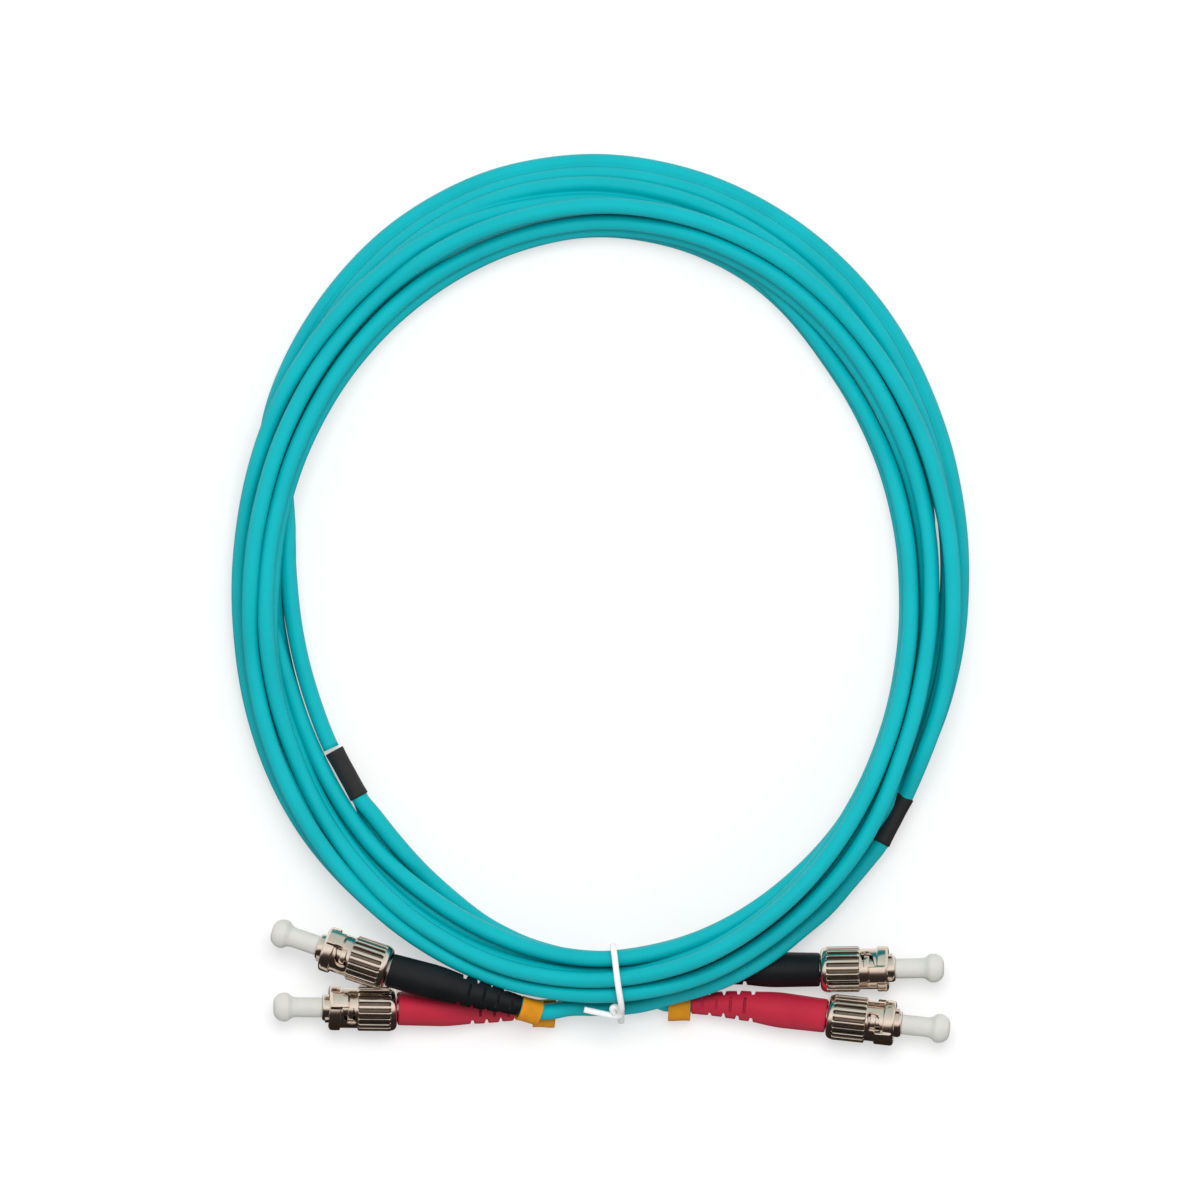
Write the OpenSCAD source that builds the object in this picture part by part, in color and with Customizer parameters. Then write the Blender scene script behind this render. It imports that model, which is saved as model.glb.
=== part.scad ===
// Duplex ST fibre patch lead, coiled, with two bayonet plugs at each end.
// Units are millimetres. X runs to the right, Y away from the viewer, Z up from the table.
// The origin is on the table, below the middle of the four plugs.

/* [Plugs] */
// Ferrule diameter (standard)
ferrule_d = 2.5; // [2.49:0.01:2.51]
// Knurled diameter of the coupling nut
nut_d = 8.4; // [8:0.1:9]
// Diameter over the two humps of the nut
hump_d = 8.9; // [8.6:0.1:9.2]
// Number of grooves in the knurl
knurl_n = 20; // [16:1:24]
// Outside diameter of the barrel's nose
barrel_d = 4.9; // [4.6:0.1:5]
// How far the nut can slide forward
nut_travel = 2.0; // [1.5:0.1:2.5]

/* [Boots and caps] */
// Largest diameter of the boot
boot_d = 6.5; // [6:0.1:7]
// Diameter of the boot's thin end
boot_end_d = 3.7; // [3.5:0.1:4]
// Largest diameter of the dust cap
cap_d = 5.3; // [5:0.1:5.6]
// Length of the orange marker sleeve
tag_l = 4.0; // [3:0.5:6]

/* [Cord] */
// Diameter of one jacket
cord_d = 3.0; // [2.8:0.1:3.2]
// Turns of the pressure spring
spring_turns = 6.5; // [5:0.5:8]

/* [Hidden] */
$fn = 48;

metal = [0.78, 0.75, 0.71];
aqua = [0.0, 0.62, 0.66];
orange = [0.83, 0.5, 0.06];

// --- rigid frames -------------------------------------------------------
function tr(v) = [[1,0,0,v[0]],[0,1,0,v[1]],[0,0,1,v[2]],[0,0,0,1]];
function rz(a) = [[cos(a),-sin(a),0,0],[sin(a),cos(a),0,0],[0,0,1,0],[0,0,0,1]];
function ry(a) = [[cos(a),0,sin(a),0],[0,1,0,0],[-sin(a),0,cos(a),0],[0,0,0,1]];
function pt(m, x, y = 0, z = 0) = let (q = m * [x, y, z, 1]) [q[0], q[1], q[2]];

// plug frame: origin at the middle of the nut's rear face, +x to the cap
// [x, y, z, turn, nose up]
LB = [-40.5, 2.7, 9.2, 161.3, -7];
LR = [-39.0, -4.4, 4.17, 179.3, 1.9];
RB = [38.6, 2.7, 4.17, 0.8, 1.9];
RR = [39.8, -5.8, 4.17, -6.3, 1.9];
// boot bends: [turn, nose up] of the bell against the plug, then of each flexing ring
LB_b = [3, 5, 0.3, 4.3];
LR_b = [0.5, 1.5, 0, 0];
RB_b = [-0.8, 0, 0, 0];
RR_b = [-1.0, 0, 1.7, 0];

function plug(p) = tr([p[0], p[1], p[2]]) * rz(p[3]) * ry(-p[4]);
function bell(p, b) = plug(p) * rz(b[0]) * ry(-b[1]);
// frame at the start of flexing ring i (1 to 5), rings 2.6 mm apart
function ring(p, b, i) = i == 1
    ? bell(p, b) * tr([-13.5, 0, 0]) * rz(b[2]) * ry(-b[3])
    : ring(p, b, i - 1) * tr([-2.6, 0, 0]) * rz(i < 5 ? b[2] : 0) * ry(i < 5 ? -b[3] : 0);

// --- turned solids along +x --------------------------------------------
module turned(pts) rotate([0, 90, 0]) rotate_extrude() polygon(pts);
module tube_x(x0, x1, ro, ri) turned([[ri, x0], [ro, x0], [ro, x1], [ri, x1]]);

// --- pieces of one plug -------------------------------------------------
module cap_solid() color([0.9, 0.9, 0.88, 0.6])
    turned([[1.29, 13.75], [1.83, 13.75], [1.83, 19.0], [2.1, 19.5], [cap_d/2, 20.4],
            [2.5, 21.3], [1.9, 22.3], [1.2, 22.6], [0, 22.6], [0, 20.2], [1.29, 20.2]]);

module ferrule_solid() color([0.95, 0.95, 0.92])
    turned([[0.08, 6.05], [ferrule_d/2, 6.05], [ferrule_d/2, 19.3], [0.95, 19.7], [0.08, 19.7]]);

module barrel_solid() color(metal) {
    turned([[0.5, -6.2], [1.35, -6.2], [1.35, -1.8], [2.28, -1.8], [2.28, -0.62], [1.95, -0.62],
            [1.95, -0.14], [2.28, -0.14], [2.28, 8.0], [2.9, 8.0], [2.9, 9.0], [barrel_d/2, 9.0],
            [barrel_d/2, 13.3], [2.1, 13.7], [1.27, 13.7], [1.27, 6.0], [0.5, 6.0]]);
    // key that stops the ferrule from turning in its adapter
    translate([11.2, 0, 0]) rotate([-60, 0, 0]) translate([0, -0.5, 2.2]) cube([2.0, 1.0, 0.75]);
}

function knurl_pts(r) = [for (i = [0:knurl_n - 1], k = [0:4])
    let (a = (i + [0, 0.22, 0.34, 0.66, 0.78][k]) * 360 / knurl_n,
         q = [0, 0, -0.36, -0.36, 0][k]) [(r + q) * cos(a), (r + q) * sin(a)]];

module nut_solid(turn) color(metal) rotate([turn, 0, 0]) difference() {
    union() {
        // rear rim, smooth part and front ring
        turned([[2.34, 0], [3.6, 0], [nut_d/2 - 0.15, 0.3], [nut_d/2 - 0.05, 1.1], [3.7, 1.15],
                [3.7, 10.4], [4.1, 10.45], [4.15, 12.2], [3.95, 12.5], [3.6, 12.5], [3.05, 12.0],
                [3.05, 1.2], [2.34, 1.2]]);
        rotate([0, 90, 0]) translate([0, 0, 1.1]) linear_extrude(6.1) difference() {
            polygon(knurl_pts(nut_d/2));
            circle(r = 3.4);
        }
        // two humps over the entry grooves
        for (s = [0, 180]) rotate([s, 0, 0]) rotate([0, 90, 0])
            translate([0, 0, 8.8]) rotate([0, 0, 68]) rotate_extrude(angle = 44)
                polygon([[3.5, 0], [4.25, 0], [hump_d/2, 0.4], [hump_d/2, 2.8], [4.2, 3.2], [3.5, 3.2]]);
    }
    for (s = [0, 180]) rotate([s, 0, 0]) {
        // entry groove under the hump
        translate([7.9, 0, -1.1]) cube([5, 3.88, 2.2]);
        // slanted bayonet slot, cut through the wall
        for (k = [0:3]) rotate([-k * 20, 0, 0]) translate([7.9 - 0.12 * k, 2.4, -1.1]) cube([2.2, 2.5, 2.2]);
    }
}

module spring_solid() color([0.6, 0.6, 0.62]) {
    n = 12; s = 6; m = spring_turns * n; l0 = 1.92; l1 = 7.7;
    p = [for (i = [0:m], k = [0:s - 1])
        let (a = i * 360 / n, c = k * 360 / s, r = 2.6 + 0.2 * cos(c))
        [l0 + (l1 - l0) * i / m + 0.2 * sin(c), r * cos(a), r * sin(a)]];
    polyhedron(p, concat([[for (k = [0:s - 1]) k]], [[for (k = [s - 1:-1:0]) m * s + k]],
        [for (i = [0:m - 1], k = [0:s - 1]) let (k2 = (k + 1) % s)
            [i * s + k, (i + 1) * s + k, (i + 1) * s + k2, i * s + k2]]));
}

module washer_solid() color(metal) tube_x(1.22, 1.62, 2.95, 2.36);
module ring_solid() color([0.5, 0.5, 0.52]) tube_x(-0.58, -0.18, 2.9, 1.97);
module crimp_solid() color(metal) tube_x(-6.4, -1.85, 1.8, 1.37);
module fibre_solid() color([0.9, 0.85, 0.6]) turned([[0, -9.0], [0.45, -9.0], [0.45, 6.0], [0, 6.0]]);

// boot: a bell in front, then flexing rings with side notches and upper and lower slots
module cuts(x, side) for (s = [0, 180]) rotate([s + (side ? 90 : 0), 0, 0])
    translate([x, -1.5, 1.45]) cube([0.55, 3, 3]);

module boot_solid(p, b, c) color(c) difference() {
    union() {
        multmatrix(bell(p, b)) turned([[0, -1.0], [2.95, -1.0], [3.1, -1.15], [boot_d/2, -8],
            [boot_d/2 - 0.12, -10.5], [2.86, -13.0], [2.84, -13.7], [0, -13.7]]);
        for (i = [1:4]) multmatrix(ring(p, b, i)) turned([[0, 0.3],
            [[2.78, 2.68, 2.4, 2.12][i - 1], 0.3], [[2.74, 2.5, 2.2, 1.99][i - 1], -2.6], [0, -2.6]]);
        multmatrix(ring(p, b, 5)) turned([[0, 0.3], [1.93, 0.3], [boot_end_d/2, -1.1], [0, -1.1]]);
    }
    multmatrix(bell(p, b)) turned([[0, 1], [2.45, 1], [2.45, -7.6], [1.75, -9.4], [1.75, -13.6], [0, -13.6]]);
    for (i = [1:4]) multmatrix(ring(p, b, i)) {
        turned([[0, 0.1], [1.74 - 0.03 * i, 0.1], [1.74 - 0.03 * i, -2.7], [0, -2.7]]);
        cuts(-0.65, true);
        cuts(-1.95, false);
    }
    multmatrix(ring(p, b, 5)) turned([[0, 0.1], [1.57, 0.1], [1.57, -3], [0, -3]]);
}

// loose marker sleeve, flattened, w wide; off is how far it hangs to one side
module tag_solid(p, b, w, off) color(orange) multmatrix(ring(p, b, 5))
    translate([-1.2 - tag_l, off, 0]) rotate([0, 90, 0]) linear_extrude(tag_l) difference() {
        union() {
            for (s = [-1, 1]) translate([0, s * (w - 3.9) / 2]) circle(r = 1.95);
            square([3.9, w - 3.9], center = true);
        }
        union() {
            for (s = [-1, 1]) translate([0, s * (w - 3.9) / 2]) circle(r = 1.7);
            square([3.4, w - 3.9], center = true);
        }
    }

// --- cord ---------------------------------------------------------------
function unit(v) = v / norm(v);
function tangent(p, i) = unit(p[min(i + 1, len(p) - 1)] - p[max(i - 1, 0)]);

module swept(p, r, s = 8) {
    n = len(p);
    q = [for (i = [0:n - 1], k = [0:s - 1])
        let (t = tangent(p, i), u = unit(cross([0, 0, 1], t)), v = cross(t, u), a = (k + 0.5) * 360 / s)
        p[i] + r * (cos(a) * u + sin(a) * v)];
    polyhedron(q, concat([[for (k = [0:s - 1]) k]], [[for (k = [s - 1:-1:0]) (n - 1) * s + k]],
        [for (i = [0:n - 2], k = [0:s - 1]) let (k2 = (k + 1) % s)
            [i * s + k, (i + 1) * s + k, (i + 1) * s + k2, i * s + k2]]));
}

function in_boot(p, b) = concat([pt(bell(p, b), -9.6), pt(bell(p, b), -13.5)],
    [for (i = [2:5]) pt(ring(p, b, i), 0)], [pt(ring(p, b, 5), -1.8 - tag_l)]);

// routes of the four legs from the boots to the breakout sleeves
route_lb = [[-7, -4.3, 6.2], [-1, -4.3, 5.4], [5, -3.8, 5.8], [11.4, -2.2, 7.0], [17.8, -0.4, 8.0],
    [23.9, 2.2, 8.4], [29.6, 5.6, 7.7], [34.7, 9.7, 6.0], [39.5, 13.8, 5.1], [43.7, 18.6, 4.9],
    [47.4, 23.0, 4.9]];
route_lr = [[-5, -1.8, 3.6], [0, -1.2, 5.4], [5.5, -0.6, 6.2], [11.4, 1.0, 7.4],
    [17.8, 2.8, 7.9], [23.4, 5.4, 6.9], [28.6, 8.9, 4.7], [33, 12.6, 3.1], [37.3, 16.6, 2.0],
    [41.9, 20.5, 1.8], [46.5, 23.9, 1.8]];
route_rb = [[4, 3.9, 2.9], [-2, 4.0, 2.9], [-13.5, 6.6, 1.6], [-19, 8.9, 1.6], [-24, 11.8, 1.6],
    [-32.8, 19.1, 2.7], [-37, 23.4, 4.4], [-40.4, 27.4, 4.9], [-43.4, 31.2, 4.95]];
route_rr = [[10.0, -3.4, 3.2], [5.0, -1.4, 2.8], [0, 0.5, 2.8], [-6, 1.8, 2.2], [-14, 3.3, 1.6], [-19.8, 5.8, 1.6],
    [-25.2, 8.8, 1.6], [-34.6, 16.4, 1.6], [-41.4, 25.9, 1.6], [-44.3, 30.6, 1.7]];

// breakout sleeves: [x, y, turn] of the middle, 9.6 long, standing on edge
SR = [51.8, 30.2, 62.3];
SL = [-48.2, 38.6, 118.6];
sleeve_l = 9.6;
function mouth(s, e, z) = [s[0] + e * sleeve_l / 2 * cos(s[2]), s[1] + e * sleeve_l / 2 * sin(s[2]), z];

module leg(p, b, route, s, z) color(aqua)
    swept(concat(in_boot(p, b), route, [mouth(s, -1.12, z), mouth(s, -0.2, z)]), cord_d / 2);

module sleeve(s) color([0.13, 0.13, 0.13]) translate([s[0], s[1], 3.4]) rotate([0, 0, s[2]])
    rotate([0, 90, 0]) translate([0, 0, -sleeve_l / 2]) linear_extrude(sleeve_l) difference() {
        union() { for (k = [-1, 1]) translate([k * 1.53, 0]) circle(r = 1.82); square([3.06, 3.64], center = true); }
        union() { for (k = [-1, 1]) translate([k * 1.53, 0]) circle(r = 1.56); square([3.06, 3.12], center = true); }
    }

// outer shape of the wound cord: radii and heights against the angle round the coil
coil_c = [-1.8, 72.8];
r_out = [[0, 67.2], [15, 68.5], [30, 70.5], [45, 73.4], [60, 76], [75, 78.2], [90, 79.5], [105, 79],
    [120, 76.7], [135, 73.4], [150, 70], [165, 67.8], [180, 67.4], [195, 68.1], [210, 70.1],
    [225, 72], [240, 73.6], [250, 74.6], [260, 75.6], [270, 76.2], [280, 75.5], [290, 74.2], [300, 71.8],
    [310, 69.4], [315, 67.8], [320, 66.8], [327, 65], [332, 68], [345, 67.6], [360, 67.2]];
r_in = [[0, 54.6], [15, 54.8], [30, 55.7], [45, 57.5], [60, 61.4], [75, 64], [90, 64.3], [105, 63],
    [120, 61.4], [135, 59.9], [150, 58.8], [165, 57.6], [180, 55.3], [195, 54.6], [203, 55.2], [208, 60.4],
    [220, 60.8], [230, 62.4], [240, 62.8], [255, 65.2], [270, 66.8], [285, 65.8], [300, 63.4],
    [315, 60.9], [330, 58], [345, 55.8], [360, 54.6]];
z_lo = [[0, 0.1], [210, 0.1], [225, 2.4], [240, 4.4], [255, 6.2], [265, 7.4], [270, 7.9], [280, 9.2],
    [290, 10.2], [295, 10], [300, 9], [305, 7.7], [310, 6.8], [315, 6.4], [320, 4], [332, 0.1], [360, 0.1]];
z_hi = [[0, 11], [30, 11.2], [60, 12.6], [90, 13.6], [105, 14], [120, 11.6], [135, 10.8], [150, 12.8],
    [165, 14], [180, 13.6], [195, 12], [210, 11], [240, 12.2], [255, 12.8], [265, 13.8], [275, 13.8], [280, 16.5], [285, 19.5],
    [300, 19.5], [315, 17.4], [330, 15.7], [345, 12.4], [360, 11]];

module coil_solid() color(aqua) {
    step = 5; n = 360 / step; s = 8;
    q = [for (i = [0:n - 1]) let (a = i * step, ro = lookup(a, r_out), ri = lookup(a, r_in),
            lo = lookup(a, z_lo), hi = lookup(a, z_hi), c = 1.3)
        for (v = [[ri, lo + c], [ri, hi - c], [ri + c, hi], [ro - c, hi], [ro, hi - c], [ro, lo + c],
                  [ro - c, lo], [ri + c, lo]])
            [coil_c[0] + v[0] * cos(a), coil_c[1] + v[0] * sin(a), v[1]]];
    polyhedron(q, [for (i = [0:n - 1], k = [0:s - 1]) let (k2 = (k + 1) % s, j = (i + 1) % n)
        [i * s + k, i * s + k2, j * s + k2, j * s + k]]);
}

// twist tie: a closed loop round the coil and the legs, and two twisted ends
tie_loop = [[0.6, 6.9, 10], [0.6, 6.8, 14.6], [0.8, 5.6, 15.8], [1.1, 3.2, 16.1], [1.4, 0.6, 16.2], [1.8, -2.0, 15.2],
    [2.1, -4.0, 13.2], [2.1, -5.3, 10.0], [2.1, -6.5, 6.4], [2.0, -6.5, 3.2],
    [1.8, -4.6, 0.9], [1.4, 0, 0.65], [1.0, 4, 0.65], [0.7, 6.1, 1.6], [0.6, 6.8, 4]];
module rod(a, b, r) { v = b - a; translate(a)
    multmatrix(rz(atan2(v[1], v[0])) * ry(90 - asin(v[2] / norm(v)))) cylinder(h = norm(v), r = r, $fn = 10); }
module tie_solid() color([0.93, 0.93, 0.93]) {
    n = len(tie_loop); s = 8;
    q = [for (i = [0:n - 1], k = [0:s - 1])
        let (t = unit(tie_loop[(i + 1) % n] - tie_loop[(i + n - 1) % n]), u = unit(cross([1, 0, 0], t)),
             v = cross(t, u), a = (k + 0.5) * 360 / s)
        tie_loop[i] + 0.58 * (cos(a) * u + sin(a) * v)];
    union() {
        polyhedron(q, [for (i = [0:n - 1], k = [0:s - 1]) let (k2 = (k + 1) % s, j = (i + 1) % n)
            [i * s + k, j * s + k, j * s + k2, i * s + k2]]);
        rod([2.1, -5.8, 9.2], [0.4, -5.5, 9.6], 0.58);
        rod([0.6, -5.5, 9.6], [-4.7, -4.6, 9.9], 0.58);
        rod([1.6, -5.9, 8.8], [0.8, -4.4, 10.6], 0.58);
    }
}

module left_black_cap() multmatrix(plug(LB)) cap_solid();
module left_black_ferrule() multmatrix(plug(LB)) ferrule_solid();
module left_black_barrel() multmatrix(plug(LB)) barrel_solid();
module left_black_nut() multmatrix(plug(LB)) nut_solid(35);
module left_black_spring() multmatrix(plug(LB)) spring_solid();
module left_black_washer() multmatrix(plug(LB)) washer_solid();
module left_black_ring() multmatrix(plug(LB)) ring_solid();
module left_black_crimp() multmatrix(plug(LB)) crimp_solid();
module left_black_fibre() multmatrix(plug(LB)) fibre_solid();
module left_black_boot() boot_solid(LB, LB_b, [0.1, 0.11, 0.12]);
module left_black_tag() tag_solid(LB, LB_b, 4.6, 0.4);

module left_red_cap() multmatrix(plug(LR)) cap_solid();
module left_red_ferrule() multmatrix(plug(LR)) ferrule_solid();
module left_red_barrel() multmatrix(plug(LR)) barrel_solid();
module left_red_nut() multmatrix(plug(LR)) nut_solid(20);
module left_red_spring() multmatrix(plug(LR)) spring_solid();
module left_red_washer() multmatrix(plug(LR)) washer_solid();
module left_red_ring() multmatrix(plug(LR)) ring_solid();
module left_red_crimp() multmatrix(plug(LR)) crimp_solid();
module left_red_fibre() multmatrix(plug(LR)) fibre_solid();
module left_red_boot() boot_solid(LR, LR_b, [0.72, 0.15, 0.22]);
module left_red_tag() tag_solid(LR, LR_b, 5.2, 0.8);

module right_black_cap() multmatrix(plug(RB)) cap_solid();
module right_black_ferrule() multmatrix(plug(RB)) ferrule_solid();
module right_black_barrel() multmatrix(plug(RB)) barrel_solid();
module right_black_nut() multmatrix(plug(RB)) nut_solid(15);
module right_black_spring() multmatrix(plug(RB)) spring_solid();
module right_black_washer() multmatrix(plug(RB)) washer_solid();
module right_black_ring() multmatrix(plug(RB)) ring_solid();
module right_black_crimp() multmatrix(plug(RB)) crimp_solid();
module right_black_fibre() multmatrix(plug(RB)) fibre_solid();
module right_black_boot() boot_solid(RB, RB_b, [0.1, 0.11, 0.12]);
module right_black_tag() tag_solid(RB, RB_b, 4.6, 0);

module right_red_cap() multmatrix(plug(RR)) cap_solid();
module right_red_ferrule() multmatrix(plug(RR)) ferrule_solid();
module right_red_barrel() multmatrix(plug(RR)) barrel_solid();
module right_red_nut() multmatrix(plug(RR)) nut_solid(50);
module right_red_spring() multmatrix(plug(RR)) spring_solid();
module right_red_washer() multmatrix(plug(RR)) washer_solid();
module right_red_ring() multmatrix(plug(RR)) ring_solid();
module right_red_crimp() multmatrix(plug(RR)) crimp_solid();
module right_red_fibre() multmatrix(plug(RR)) fibre_solid();
module right_red_boot() boot_solid(RR, RR_b, [0.72, 0.15, 0.22]);
module right_red_tag() tag_solid(RR, RR_b, 5.2, -0.6);

module cord_coil() coil_solid();
module leg_left_black() leg(LB, LB_b, route_lb, SR, 4.95);
module leg_left_red() leg(LR, LR_b, route_lr, SR, 1.85);
module leg_right_black() leg(RB, RB_b, route_rb, SL, 4.95);
module leg_right_red() leg(RR, RR_b, route_rr, SL, 1.85);
module sleeve_left() sleeve(SL);
module sleeve_right() sleeve(SR);
module twist_tie() tie_solid();

left_black_cap();
left_black_ferrule();
left_black_barrel();
left_black_nut();
left_black_spring();
left_black_washer();
left_black_ring();
left_black_crimp();
left_black_fibre();
left_black_boot();
left_black_tag();
left_red_cap();
left_red_ferrule();
left_red_barrel();
left_red_nut();
left_red_spring();
left_red_washer();
left_red_ring();
left_red_crimp();
left_red_fibre();
left_red_boot();
left_red_tag();
right_black_cap();
right_black_ferrule();
right_black_barrel();
right_black_nut();
right_black_spring();
right_black_washer();
right_black_ring();
right_black_crimp();
right_black_fibre();
right_black_boot();
right_black_tag();
right_red_cap();
right_red_ferrule();
right_red_barrel();
right_red_nut();
right_red_spring();
right_red_washer();
right_red_ring();
right_red_crimp();
right_red_fibre();
right_red_boot();
right_red_tag();
cord_coil();
leg_left_black();
leg_left_red();
leg_right_black();
leg_right_red();
sleeve_left();
sleeve_right();
twist_tie();
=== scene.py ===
import bpy, math
import numpy as np
from mathutils import Matrix, Vector


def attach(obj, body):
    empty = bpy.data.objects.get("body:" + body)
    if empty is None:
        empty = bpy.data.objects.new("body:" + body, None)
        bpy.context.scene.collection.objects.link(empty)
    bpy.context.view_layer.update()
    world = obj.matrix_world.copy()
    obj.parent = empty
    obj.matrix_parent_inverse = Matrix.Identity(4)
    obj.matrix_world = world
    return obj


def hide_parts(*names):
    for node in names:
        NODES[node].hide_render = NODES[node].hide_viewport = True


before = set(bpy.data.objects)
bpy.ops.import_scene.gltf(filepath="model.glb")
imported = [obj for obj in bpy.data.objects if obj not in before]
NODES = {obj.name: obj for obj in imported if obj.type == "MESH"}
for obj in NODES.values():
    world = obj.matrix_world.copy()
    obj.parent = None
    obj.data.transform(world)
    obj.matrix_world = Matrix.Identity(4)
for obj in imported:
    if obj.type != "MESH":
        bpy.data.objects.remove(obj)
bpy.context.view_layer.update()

MM = 0.001

# ---------------------------------------------------------------- camera
# straight down on the coil, with the four plugs at the lower edge
VIEW = (-1.8 * MM, 70.4 * MM)
cam_data = bpy.data.cameras.new("camera")
cam_data.type = "ORTHO"
cam_data.ortho_scale = 0.2198
cam_data.clip_start = 0.01
cam_data.clip_end = 10
camera = bpy.data.objects.new("camera", cam_data)
camera.location = (VIEW[0], VIEW[1], 0.9)
camera.rotation_euler = (0, 0, 0)
bpy.context.scene.collection.objects.link(camera)
bpy.context.scene.camera = camera

# ---------------------------------------------------------------- wound cord: where it lies (mm)
JR = 1.5            # radius of one jacket
JH = 1.53           # half the distance between the two jackets
COIL = np.array([-1.8, 72.8])
# along the cord: angle wound so far, radius of the middle of the pair, lean of the pair from upright
STRAND = [
    (-38, 68.5, 0), (-35, 67.86, 0), (-30, 66.67, 5), (-20, 65.66, 16), (-10, 64.93, 9), (0, 64.56, 0), (15, 64.47, 5),
    (30, 65.2, 5), (45, 66.67, 0), (60, 68.41, 0), (75, 69.51, 0), (90, 69.96, 0), (105, 68.96, 5), (120, 67.67, 9),
    (135, 65.84, 9), (150, 64.47, 5), (165, 63.74, 0), (180, 63.92, 0), (195, 65.2, 4), (210, 67.22, 11), (225, 69.96, 0),
    (240, 72.31, 0), (255, 74.32, 0), (270, 74.91, 0), (285, 73.81, 2), (300, 70.33, 5), (315, 66.85, 16), (330, 63.1, 2),
    (345, 60.99, 4), (360, 60.16, 16), (375, 60.53, 23), (390, 61.45, 23), (405, 63, 27), (420, 64.84, 25), (435, 66.12, 20),
    (450, 66.39, 23), (465, 65.2, 27), (480, 63.64, 31), (495, 62, 23), (510, 60.81, 20), (525, 60.35, 16), (540, 60.62, 20),
    (555, 62.09, 5), (570, 63.55, 20), (585, 66.48, 16), (600, 69.32, 16), (615, 71.34, 20), (630, 71.7, 16), (645, 70.33, 14),
    (660, 66.85, 12), (675, 62.91, 16), (690, 59.71, 11), (705, 57.51, 11), (720, 56.41, 12), (735, 56.59, 12), (750, 57.51, 12),
    (765, 59.16, 5), (780, 62.82, 5), (787, 64.65, 30), (795, 66.3, 70), (810, 67.12, 70), (825, 66.3, 80), (840, 64.47, 88),
    (850, 63.46, 90), (865, 62.27, 90), (880, 61.72, 90), (890, 61.54, 75), (900, 60.81, 40), (910, 59.62, 8), (920, 59.62, 0),
    (930, 60.35, 0), (940, 62.2, -18), (950, 64.44, -40), (960, 65.54, -40), (970, 67.0, -35), (980, 68.1, -22), (990, 68.32, 0),
    (1000, 67.77, 0), (1010, 67.01, -20), (1020, 65.92, -45), (1030, 64.6, -60), (1037, 63.7, -70), (1050, 60.99, -80), (1065, 58.79, -85),
    (1080, 57.88, -95), (1095, 60.07, -90), (1110, 62.45, -88), (1125, 65.38, -88), (1140, 68.13, -88), (1155, 70.77, -88), (1170, 72.38, -86),
    (1180, 72.38, -80), (1185, 72.25, -62), (1190, 71.98, -39), (1195, 71.52, -24), (1200, 70.97, -12), (1205, 70.05, 2), (1210, 69.53, 6),
    (1215, 68.98, 6), (1225, 68.08, 2), (1230, 67.77, 0), (1240, 66.76, 0), (1250, 65.97, 2), (1260, 65.67, 10), (1270, 65.65, 25),
    (1280, 66.42, 40), (1290, 67.66, 42), (1300, 68.88, 45), (1310, 69.61, 56), (1322, 70.79, 78), (1335, 70.88, 90), (1350, 69.78, 90),
    (1365, 68.68, 90), (1380, 66.48, 90), (1395, 64.56, 90), (1410, 65.02, 92), (1425, 64.65, 110), (1440, 64.84, 132), (1455, 65.84, 132),
    (1470, 67.86, 132), (1485, 70.79, 132), (1500, 73.35, 132), (1515, 75.55, 132), (1530, 76.83, 132), (1545, 76.47, 132), (1560, 74.27, 132),
    (1575, 70.79, 130), (1590, 67.22, 115), (1596, 65.38, 95), (1600, 63.46, 92), (1603.5, 61.72, 96), (1606.7, 60.16, 105), (1610, 59.07, 135),
    (1615, 57.88, 162), (1620, 56.87, 176), (1625, 56.5, 180), (1630, 56.32, 180), (1640, 56.41, 180), (1645, 56.78, 180), (1651.3, 57.45, 180),
]

# plug frames: [x, y, z, turn, nose up] (mm, degrees), and boot bends
PLUGS = {
    "left_black": ((-40.5, 2.7, 9.2, 161.3, -7), (3, 5, 0.3, 4.3)),
    "left_red": ((-39.0, -4.4, 4.17, 179.3, 1.9), (0.5, 1.5, 0, 0)),
    "right_black": ((38.6, 2.7, 4.17, 0.8, 1.9), (-0.8, 0, 0, 0)),
    "right_red": ((39.8, -5.8, 4.17, -6.3, 1.9), (-1.0, 0, 1.7, 0)),
}
NUT_TURN = {"left_black": 35, "left_red": 20, "right_black": 15, "right_red": 50}
TAG = {"left_black": (4.6, 0.4), "left_red": (5.2, 0.8), "right_black": (4.6, 0.0), "right_red": (5.2, -0.6)}
TAG_L = 4.0


def R(axis, deg):
    return Matrix.Rotation(math.radians(deg), 4, axis)


def plug_m(name):
    x, y, z, turn, up = PLUGS[name][0]
    return Matrix.Translation((x, y, z)) @ R("Z", turn) @ R("Y", -up)


def bell_m(name):
    b = PLUGS[name][1]
    return plug_m(name) @ R("Z", b[0]) @ R("Y", -b[1])


def ring_m(name, i):
    b = PLUGS[name][1]
    if i == 1:
        return bell_m(name) @ Matrix.Translation((-13.5, 0, 0)) @ R("Z", b[2]) @ R("Y", -b[3])
    m = ring_m(name, i - 1) @ Matrix.Translation((-2.6, 0, 0))
    return m @ R("Z", b[2]) @ R("Y", -b[3]) if i < 5 else m


SLEEVES = {"sleeve_right": (51.8, 30.2, 62.3), "sleeve_left": (-48.2, 38.6, 118.6)}
SLEEVE_L = 9.6


def mouth(s, e, z):
    a = math.radians(s[2])
    return (s[0] + e * SLEEVE_L / 2 * math.cos(a), s[1] + e * SLEEVE_L / 2 * math.sin(a), z)


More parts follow.
